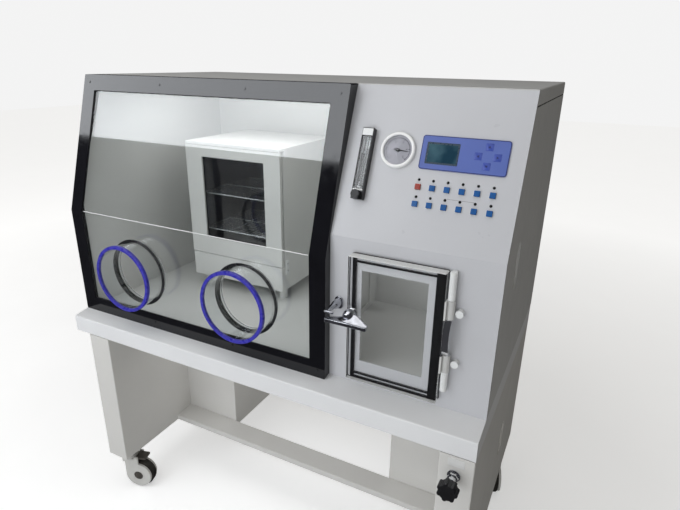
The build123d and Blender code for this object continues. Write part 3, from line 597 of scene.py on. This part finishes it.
# ---------------------------------------------------------------------------
# Control panel
# ---------------------------------------------------------------------------
gauge = panel_frame(981, 206)
mesh = bmesh.new()
bezel_profile = [(32.6, 3), (32.6, 6), (33.6, 7.1), (36, 7.5), (38.4, 7), (39.6, 5.5), (39.9, 0.2)]
lathe(mesh, gauge, bezel_profile)
piece("gauge_bezel", mesh, "cabinet", gauge_white)
mesh = bmesh.new()
lathe(mesh, gauge, [(0, 5.3), (33.1, 5.3), (33.1, 5.9), (30, 6.1), (0, 6.2)])
piece("gauge_glass", mesh, "cabinet", dial_glass)
mesh = bmesh.new()
lathe(mesh, gauge, [(1.4, 1.55), (32.9, 1.55), (32.9, 2.0), (1.4, 2.0), (1.4, 1.55)])
piece("gauge_dial", mesh, "cabinet", dial_paper)
mesh = bmesh.new()
first_mark, mark_step = 225, 5.4  # degrees; every tenth mark has a figure
mark_edge = 0.0285
for i in range(51):
    turn = math.radians(first_mark - mark_step * i)
    long = 5.0 if i % 10 == 0 else 3.4 if i % 5 == 0 else 2.2
    wide = 0.55 if i % 10 == 0 else 0.3
    inward = Matrix.Translation((mark_edge - long * mm / 2, 0, 0))
    spot = gauge @ Matrix.Rotation(turn, 4, "Z") @ inward
    slab(mesh, spot, rounded(long, 2 * wide, 0.1, 1), 1.95, 2.12, 0.05)
arc_radius = 27.0
arc = [
    (arc_radius * math.cos(math.radians(a)), arc_radius * math.sin(math.radians(a)))
    for a in range(-45, 226, 6)
]
for (x0, y0), (x1, y1) in zip(arc, arc[1:]):
    halfway = Matrix.Translation(((x0 + x1) / 2 * mm, (y0 + y1) / 2 * mm, 0))
    turned = Matrix.Rotation(math.atan2(y1 - y0, x1 - x0), 4, "Z")
    stroke = rounded(math.hypot(x1 - x0, y1 - y0), 0.7, 0.05, 1)
    slab(mesh, gauge @ halfway @ turned, stroke, 1.95, 2.1, 0.05)
piece("gauge_marks", mesh, "cabinet", ink)

figure_radius = 19.5
for i in range(6):
    turn = math.radians(first_mark - 10 * mark_step * i)
    figure = (figure_radius * math.cos(turn), figure_radius * math.sin(turn), 2.06)
    spot = gauge @ Matrix.Translation(Vector(figure) * mm)
    lettering(f"gauge_figure_{i}", str(i), spot, 6.0, "cabinet", ink)

# Needle: hub and a tapered blade with a short tail
mesh = bmesh.new()
lathe(mesh, gauge, [(1.1, 2.4), (4.4, 2.4), (4.4, 3.9), (3.8, 4.5), (0, 4.7)], 32)
needle_turn = gauge @ Matrix.Rotation(math.radians(-4), 4, "Z")
blade = [(25, -0.35), (25, 0.35), (3, 1.5), (-9, 1.9), (-9, -1.9), (3, -1.5)]
slab(mesh, needle_turn, blade, 3.0, 3.9, 0.1)
needle = piece("gauge_pointer", mesh, "needle", ink)
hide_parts("gauge_needle")

# Flow meter: black rails and front frame, white label, ribbed scale strip behind the tube
meter_x, meter_middle, meter_out = 909, 167, 15
mesh = bmesh.new()
for side in (-1, 1):
    rail = panel_frame(meter_x + side * 13.6, meter_middle)
    slab(mesh, rail, rounded(0.5, 159, 0.2, 2), 0.05, 15.1, 0.05)
slab(mesh, panel_frame(meter_x, 247.1), rounded(26.6, 0.5, 0.2, 2), 0.05, 15.1, 0.05)
meter_front = panel_frame(meter_x, meter_middle, meter_out)
band(mesh, meter_front, rounded(27.4, 160.4, 2), rounded(20.5, 122, 1), 0, 0.3)
piece("meter_frame", mesh, "cabinet", black_plastic)
mesh = bmesh.new()
slab(mesh, panel_frame(meter_x - 0.6, 238, meter_out), rounded(24.6, 15.6, 0.8), 0.25, 0.8, 0.2)
slab(mesh, panel_frame(meter_x, 108.5, meter_out), rounded(24, 3.6, 1.4), 0.25, 1.6, 0.5)
slab(mesh, panel_frame(meter_x, 215), rounded(21, 24, 0.5, 2), 1, 1.5, 0.1)
bore = panel_frame(meter_x, 0, 8) @ Matrix.Rotation(-math.pi / 2, 4, "X")
lathe(mesh, bore, [(0, 113), (4.6, 113), (4.6, 115.9), (0, 115.9)], 24)
piece("meter_label", mesh, "cabinet", white_plastic)
mesh = bmesh.new()
slab(mesh, panel_frame(meter_x - 5, 150), rounded(9.5, 84, 0.5, 2), 1, 1.5, 0.1)
for i in range(4):
    slab(mesh, panel_frame(meter_x + 2 + 2.4 * i, 155), rounded(0.9, 94, 0.3, 2), 1, 1.5, 0.1)
piece("meter_strip", mesh, "cabinet", ink)
mesh = bmesh.new()
for i in range(21):
    long = 5.0 if i % 5 == 0 else 3.0
    tick = panel_frame(meter_x + 9.6 - long / 2, 126 + 4.6 * i, meter_out)
    slab(mesh, tick, rounded(long, 0.6, 0.2, 2), 0, 0.2, 0.05)
piece("meter_scale", mesh, "cabinet", white_plastic)

# Display: screen, dark border line, four keys
screen_place = panel_frame(1080, 206.5)
mesh = bmesh.new()
slab(mesh, screen_place, rounded(70.4, 46.4, 1.8), 1.75, 1.95, 0.1)
screen_glass, tree, bsdf, link = shader("screen")
glow = spread(tree, noise(tree, 18, 3, (1, 1, 1)), 0, 1, 0.35, 0.65)
screen_blue = blend_colour(tree, glow, (0.012, 0.045, 0.075), (0.070, 0.150, 0.190))
link(screen_blue, bsdf.inputs["Base Color"])
link(spread(tree, noise(tree, 60, 4), 0.06, 0.14), bsdf.inputs["Roughness"])
piece("display_screen", mesh, "cabinet", screen_glass)
mesh = bmesh.new()
band(mesh, screen_place, rounded(70.6, 46.6, 1.8), rounded(62.5, 38.5, 0.8), 1.9, 2.3)
screen_frame = surface("screen_frame", (0.035, 0.06, 0.09), 0.3, cloud=60)
piece("display_frame", mesh, "cabinet", screen_frame)
mesh = bmesh.new()
border = rounded(183.6, 72.6, 5.8), rounded(180.4, 69.4, 4.3)
band(mesh, panel_frame(1125, 207.5), *border, 2.4, 2.62)
piece("display_border", mesh, "cabinet", overlay_navy)
mesh = bmesh.new()
arrows = bmesh.new()
for x, up, turn in ((1175, 228.5, 90), (1155, 208, 180), (1194, 208, 0), (1175, 188.6, 270)):
    slab(mesh, panel_frame(x, up, 2.5), rounded(15.5, 15.5, 1.6), -0.05, 0.45, 0.25)
    spot = panel_frame(x, up, 2.94) @ Matrix.Rotation(math.radians(turn), 4, "Z")
    slab(arrows, spot, [(3.4, 0), (-2.1, 3.0), (-2.1, -3.0)], -0.02, 0.12, 0.03)
piece("display_keys", mesh, "cabinet", key_blue)
piece("display_arrows", arrows, "cabinet", overlay_navy)

# Small round lamps above the buttons, a rim round each button, and a thin printed line
button_rows = (132, 95)
button_columns = [1040 + 31.6 * column for column in range(6)]
lamp_rise = 15.6
button_rim = rounded(14.6, 14.6, 1.4), rounded(13.1, 13.1, 0.5)
lamp_profile = [(3.1, -0.1), (3.1, 0.5), (2.8, 0.8), (2.5, 0.8), (2.3, 1.2), (1.3, 1.9), (0, 2.1)]
lamps = bmesh.new()
rims = bmesh.new()
for up in button_rows:
    for x in button_columns:
        lathe(lamps, panel_frame(x, up + lamp_rise), lamp_profile, 20)
        band(rims, panel_frame(x, up), *button_rim, -0.05, 0.7)
piece("button_lamps", lamps, "cabinet", lamp_dark)
piece("button_bezels", rims, "cabinet", white_plastic)
mesh = bmesh.new()
slab(mesh, panel_frame(1135, 113.3), rounded(58, 0.5, 0.2, 2), -0.05, 0.06, 0.02)
piece("panel_line", mesh, "cabinet", ink)

# ---------------------------------------------------------------------------
# Transfer door: gasket lip, latch lever, its base and its keeper
# ---------------------------------------------------------------------------
pane_low, pane_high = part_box("outer_door")
mesh = bmesh.new()
wide, tall = (pane_high.x - pane_low.x) / mm, (pane_high.z - pane_low.z) / mm
pane_middle = (pane_low + pane_high) / 2
lip = Matrix.Translation((pane_middle.x, pane_high.y - 0.1 * mm, pane_middle.z)) @ facing_front
band(mesh, lip, rounded(wide + 1.4, tall + 1.4, 5), rounded(wide - 2, tall - 2, 4), 0, 2.4)
piece("door_gasket_lip", mesh, "transfer_door", rubber)
pivot = Matrix.Translation((left + 930 * mm, pane_low.y, 868 * mm))
mesh = bmesh.new()
hub = pivot @ facing_front
dome_profile = [
    (5.1, 12.3), (13.6, 12.3), (14.4, 14), (14.2, 20), (12.6, 26), (9.5, 30), (5.5, 32.4),
    (0, 33.2),
]
lathe(mesh, hub, dome_profile)
piece("latch_hub_chrome", mesh, "door_latch", chrome_painted_reflections, 60)

# The paddle: sections across X, deep in the middle, with a straight thick lip along the front
lip_front = -44.5
middle_y, middle_z = -30, -12.5
across_section = [0, 0.2, 0.42, 0.64, 0.80, 0.88, 0.97, 1, 1, 0.96, 0.86, 0.5, 0]
mesh = bmesh.new()
rings = []
stations = [-54, -52.6, -49, -43, -36, -29, -22, -15, -8, -1, 6, 13, 20, 27, 34, 40, 45, 48.6, 50]
for x in stations:
    swell = math.exp(-(((x - 8) / (21 if x < 8 else 27)) ** 2))
    reach = min(1, abs(x + 2) / 52)
    rear = -13 - 19 * reach**2
    shrink = 0.82 if x in (stations[0], stations[-1]) else 1
    heights = [
        -8 + 16 * swell, -8.4 + 15.5 * swell, -9.5 + 12 * swell, -10 + 6 * swell, -10 + swell,
        -8.2, -7.4, -9, -15, -17, -17.4, -17, -16.6,
    ]
    ring = []
    for share, height in zip(across_section, heights):
        y = rear + (lip_front - rear) * share
        y_shrunk = middle_y + (y - middle_y) * shrink
        z_shrunk = middle_z + (height - middle_z) * shrink
        point = Vector((x + 3, y_shrunk, z_shrunk)) * mm
        ring.append(mesh.verts.new(pivot @ point))
    rings.append(ring)
skin(mesh, rings)
lever = piece("latch_lever_chrome", mesh, "door_latch", chrome_painted_reflections, 80)
smooth = lever.modifiers.new("smooth", "SUBSURF")
smooth.levels = smooth.render_levels = 2
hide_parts("latch_lever")
mesh = bmesh.new()
slab(mesh, hub @ Matrix.Translation((0, -5 * mm, 0)), rounded(27, 34, 12), 0.05, 5, 1.5)
lathe(mesh, hub, [(10.5, 4.8), (10.2, 11), (9.4, 12.4), (0, 12.6)], 40)
base = piece("latch_base_chrome", mesh, "transfer_door", chrome, 50)
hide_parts("latch_base")

keeper_place = Matrix.Translation((left + 881 * mm, face, 877 * mm)) @ facing_front
mesh = bmesh.new()
slab(mesh, keeper_place @ Matrix.Translation((0, -7 * mm, 0)), rounded(22, 32, 10), 0.05, 4.0, 1.2)
oval = keeper_place @ Matrix.Translation((0, -6 * mm, 0)) @ Matrix.Diagonal((0.85, 1.1, 1, 1))
keeper_profile = [(10.4, 3.8), (10.8, 8), (10.2, 16), (8.4, 24), (5.5, 29.5), (2.5, 31.6), (0, 32)]
lathe(mesh, oval, keeper_profile, 40)
arm = [(0, -4, 20), (0, -4, 30), (0, -5, 44), (0, -6, 56), (0, -6, 60)]
tube(mesh, keeper_place, arm, [9.0, 7.6, 5.6, 4.4, 3.4])
nose = [(x, -6, 60) for x in (-8, -7.6, -6, 0, 8, 14, 15.6, 16)]
tube(mesh, keeper_place, nose, [1.2, 2.6, 3.5, 3.2, 3.2, 3.5, 2.6, 1.2])
keeper = piece("latch_keeper_chrome", mesh, "cabinet", chrome_painted_reflections, 50)
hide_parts("latch_keeper")

# Grab catch on the working chamber's side of the inner door
inner_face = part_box("inner_door")[0].x
mesh = bmesh.new()
catch = Matrix.Translation((inner_face + 0.0003, front + 350 * mm, 850 * mm))
catch = catch @ Matrix.Rotation(-math.pi / 2, 4, "Y")
slab(mesh, catch, rounded(70, 30, 8), -1, 4, 1.0)
lathe(mesh, catch, [(11, 3.8), (11, 10), (9, 16), (5, 19), (0, 20)])
loft(mesh, catch @ Matrix.Rotation(math.pi / 2, 4, "Z"), [
    (-2, 0, 13, 8, 5), (14, 0, 14, 7, 4.5), (34, 0, 16, 6, 4), (52, 0, 18, 6, 3.5),
    (60, 0, 18, 3, 2),
])
piece("inner_door_catch", mesh, "airlock_inner_door", chrome, 50)

# ---------------------------------------------------------------------------
# Gas valve: cap of the knob, blank plate above it
# ---------------------------------------------------------------------------
mesh = bmesh.new()
place = front_frame(1207, -60, 552)
lathe(mesh, place, [(13, -2.5), (13, 0.0), (10.5, 0.0), (9.5, -0.9), (4, -0.9), (0, -0.7)], 40)
piece("valve_cap", mesh, "gas_knob", black_plastic)
mesh = bmesh.new()
slab(mesh, front_frame(1209, 0, 586), rounded(38, 20, 2), -0.05, 0.7, 0.25)
piece("valve_plate", mesh, "cabinet", brushed)

# ---------------------------------------------------------------------------
# Casters: rims, hub caps, axle bolts and ribs on the brake pedals
# ---------------------------------------------------------------------------
headings = {  # x and y of the swivel in millimetres, and its heading in degrees
    "left_front": (93.0, 50.0, 17.0),
    "right_front": (1206.0, 52.0, 155.0),
    "left_rear": (98.0, 690.0, 40.0),
    "right_rear": (1214.0, 640.0, -72.0),
}
rim_profile = [(44.0, -0.4), (43.5, 0.2), (42.6, 0.6), (41, 0.6), (39.8, 0.2), (39.2, -0.4)]
hub_profile = [(20, -0.4), (19.6, 0.6), (18, 1.1), (16.6, 1.0), (16.2, -0.4)]
cap_profile = [
    (16, -0.4), (15.8, 0.6), (9, 1.0), (8.4, 2.0), (6, 2.6), (3.4, 2.6), (3, 1.6), (0, 1.6),
]
trail, wheel_side, axle_height = 33, 22, 50
pedal_pin_x, pedal_pin_height = 30, 119
for name, (x, y, heading) in headings.items():
    swivel = Matrix.Translation((left + x * mm, front + y * mm, 0))
    swivel = swivel @ Matrix.Rotation(math.radians(heading), 4, "Z")
    rim = bmesh.new()
    cap = bmesh.new()
    for side in (-1, 1):
        outward = Matrix.Rotation(-side * math.pi / 2, 4, "X")
        axle = Vector((trail, side * wheel_side, axle_height)) * mm
        place = swivel @ Matrix.Translation(axle) @ outward
        lathe(rim, place, rim_profile, 56)
        lathe(rim, place, hub_profile, 40)
        lathe(cap, place, cap_profile, 32)
        if name.endswith("front"):
            pin = Vector((pedal_pin_x, side * wheel_side, pedal_pin_height)) * mm
            place = swivel @ Matrix.Translation(pin) @ outward
            lathe(rim, place, [(4.6, -0.3), (4.6, 1.0), (3.6, 1.8), (0, 2.0)], 24)
    piece(f"caster_rims_{name}", rim, f"caster_{name}", grey_plastic)
    piece(f"caster_caps_{name}", cap, f"caster_{name}", caster_dark)
    if name.endswith("front"):
        ribs = bmesh.new()
        plate = swivel @ Matrix.Translation((46 * mm, 0, 122 * mm))
        for step in (-9, -3, 3, 9):
            place = plate @ Matrix.Translation((step * mm, 0, 0))
            slab(ribs, place, rounded(2.4, 30, 1), -0.1, 0.9, 0.4)
        piece(f"pedal_ribs_{name}", ribs, f"pedal_{name}", caster_dark)

# ---------------------------------------------------------------------------
# Incubator: seals of the glass and the door, hinge plates and their screws
# ---------------------------------------------------------------------------
door_low, door_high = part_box("incubator_door")
glass_low, glass_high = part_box("incubator_glass")
glass_middle = (glass_low + glass_high) / 2
glass_place = Matrix.Translation((glass_middle.x, glass_low.y + 0.0002, glass_middle.z))
glass_place = glass_place @ facing_front
mesh = bmesh.new()
band(mesh, glass_place, rounded(235.6, 267.6, 2), rounded(231, 263, 1), -0.2, 2.2)
piece("oven_glass_seal", mesh, "oven_door", rubber)
mesh = bmesh.new()
door_middle = (door_low + door_high) / 2
seal_place = Matrix.Translation((door_middle.x - 0.006, door_high.y + 0.0039, door_middle.z))
seal_place = seal_place @ facing_front
band(mesh, seal_place, rounded(330, 344, 6), rounded(312, 326, 4), 0, 3.6)
piece("oven_door_seal", mesh, "cabinet", rubber)
mesh = bmesh.new()
plates = ((door_low.z - 0.030, door_low.z + 0.018), (door_high.z - 0.018, door_high.z + 0.006))
for low, high in plates:
    bracket = Matrix.Translation((door_high.x + 0.0001, door_high.y + 0.014, (low + high) / 2))
    bracket = bracket @ facing_right
    slab(mesh, bracket, rounded((high - low) / mm, 18, 3), -0.1, 2.4, 0.6)
piece("oven_hinge_plates", mesh, "cabinet", white_plastic)
mesh = bmesh.new()
for z in (door_low.z - 0.018, door_low.z + 0.006):
    screw = Matrix.Translation((door_high.x + 0.0024, door_high.y + 0.016, z)) @ facing_right
    lathe(mesh, screw, [(3.2, 0), (3.2, 0.8), (2.2, 1.5), (0, 1.7)], 20)
piece("oven_hinge_screws", mesh, "cabinet", steel)

# Two grooves with black rings round each clear port tube
mesh = bmesh.new()
port_columns, port_height = (243, 620), 827
groove = [(87.7, -0.7), (88.2, -0.7), (88.2, 0.7), (87.7, 0.7), (87.7, -0.7)]
for x in port_columns:
    for y in (58, 66):
        lathe(mesh, front_frame(x, y, port_height), groove, 72)
piece("port_grooves", mesh, "cabinet", ink)

# ---------------------------------------------------------------------------
# Floor, light and camera
# ---------------------------------------------------------------------------
# The camera alone sees the floor brighten with distance; no lamp or mirror does
floor_half = 14
mesh = bmesh.new()
bmesh.ops.create_grid(mesh, x_segments=2, y_segments=2, size=floor_half)
data = bpy.data.meshes.new("floor")
mesh.to_mesh(data)
mesh.free()
floor = bpy.data.objects.new("floor", data)
made, tree, bsdf, link = shader("floor_pale")
shade = spread(tree, noise(tree, 1.5, 3), 0, 1)
link(blend_colour(tree, shade, (0.84, 0.84, 0.84), (0.87, 0.87, 0.87)), bsdf.inputs["Base Color"])
link(spread(tree, noise(tree, 6, 3), 0.55, 0.65), bsdf.inputs["Roughness"])
reach = tree.nodes.new("ShaderNodeVectorMath")
reach.operation = "LENGTH"
link(tree.nodes.new("ShaderNodeTexCoord").outputs["Object"], reach.inputs[0])
far = spread(tree, reach.outputs["Value"], 0.42, 0.72, 1.2, 4.0)
direct = tree.nodes.new("ShaderNodeLightPath").outputs["Is Camera Ray"]
bsdf.inputs["Emission Color"].default_value = (1, 1, 1, 1)
link(maths(tree, "MULTIPLY", far, direct), bsdf.inputs["Emission Strength"])
data.materials.append(made)
floor.visible_glossy = False
bpy.context.scene.collection.objects.link(floor)


def softbox(name, where, at, width, height, power, colour=(1, 1, 1)):
    """An area lamp that points at a place."""
    lamp = bpy.data.lights.new(name, "AREA")
    lamp.shape = "RECTANGLE"
    lamp.size = width
    lamp.size_y = height
    lamp.energy = power
    lamp.color = colour
    made = bpy.data.objects.new(name, lamp)
    made.location = where
    made.rotation_euler = (Vector(at) - Vector(where)).to_track_quat("-Z", "Y").to_euler()
    bpy.context.scene.collection.objects.link(made)
    return made


daylight = (0.93, 0.96, 1.0)
softbox("window_light", (-2.15, -2.2, 2.36), (-2.15, -0.4, 1.75), 3.3, 0.66, 34, daylight)
softbox("high_front", (-0.3, -2.2, 3.4), (-0.2, -0.2, 0.9), 2.4, 1.0, 6, daylight)
low = softbox("low_front", (-0.2, -3.0, 0.75), (-0.1, 0, 0.6), 3.2, 1.2, 32, daylight)
low.visible_glossy = False
softbox("overhead", (-0.5, -0.8, 3.6), (-0.4, -0.4, 0.0), 3.0, 2.6, 30)
# Weak lamps inside the chambers and under the table, seen by no camera or mirror
chamber_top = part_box("chamber_liner")[1].z
airlock_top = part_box("transfer_box")[1].z
table_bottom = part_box("table")[0].z
oven_x = (oven_low.x + oven_high.x) / 2
fills = (
    ("chamber_fill", (-0.20, 0.02, chamber_top - 0.02), (-0.20, 0.10, 0.7), 0.60, 0.24, 0.95),
    ("airlock_fill", (0.38, -0.02, airlock_top - 0.01), (0.38, 0.02, 0.7), 0.14, 0.20, 0.11),
    ("stand_fill", (-0.05, 0.0, table_bottom - 0.02), (-0.05, 0.12, 0.0), 0.9, 0.3, 0.7),
    (
        "oven_fill", (oven_x, oven_low.y + 0.12, oven_high.z - 0.03),
        (oven_x, oven_low.y + 0.15, 0.7), 0.2, 0.1, 0.25,
    ),
)
for name, where, at, width, height, power in fills:
    fill = softbox(name, where, at, width, height, power)
    fill.visible_camera = fill.visible_glossy = fill.visible_transmission = False

# Pale to the camera, dark in mirrors, the room's soft light to everything else
world = bpy.data.worlds.new("studio")
bpy.context.scene.world = world
world.use_nodes = True
tree = world.node_tree
rays = tree.nodes.new("ShaderNodeLightPath")
seen = tree.nodes.new("ShaderNodeMix")
seen.data_type = "RGBA"
seen.inputs[7].default_value = (0.90, 0.90, 0.90, 1)
mirrored = tree.nodes.new("ShaderNodeMix")
mirrored.data_type = "RGBA"
mirrored.inputs[6].default_value = (0.215, 0.208, 0.19, 1)
mirrored.inputs[7].default_value = (0.05, 0.05, 0.055, 1)
tree.links.new(rays.outputs["Is Glossy Ray"], mirrored.inputs[0])
tree.links.new(mirrored.outputs[2], seen.inputs[6])
tree.links.new(rays.outputs["Is Camera Ray"], seen.inputs[0])
tree.links.new(seen.outputs[2], tree.nodes["Background"].inputs["Color"])
bpy.context.scene.view_settings.view_transform = "Standard"

# The camera of the photograph, worked out from the straight edges of the case
camera = bpy.data.cameras.new("camera")
camera.lens = 27.74
camera.sensor_width = 36
camera.clip_start = 0.05
yaw, pitch, roll = (math.radians(v) for v in (26.53, 20.40, 0.88))
level = math.cos(pitch)
ahead = Vector((-math.sin(yaw) * level, math.cos(yaw) * level, -math.sin(pitch)))
across = Vector((math.cos(yaw), math.sin(yaw), 0))
upward = across.cross(ahead)
level_x = across * math.cos(roll) + upward * math.sin(roll)
level_y = upward * math.cos(roll) - across * math.sin(roll)
eye = bpy.data.objects.new("camera", camera)
turned = Matrix((level_x, level_y, -ahead)).transposed().to_4x4()
eye_place = (0.7554, -1.2926, 1.4088)
eye.matrix_world = Matrix.Translation(eye_place) @ turned
bpy.context.scene.collection.objects.link(eye)
bpy.context.scene.camera = eye
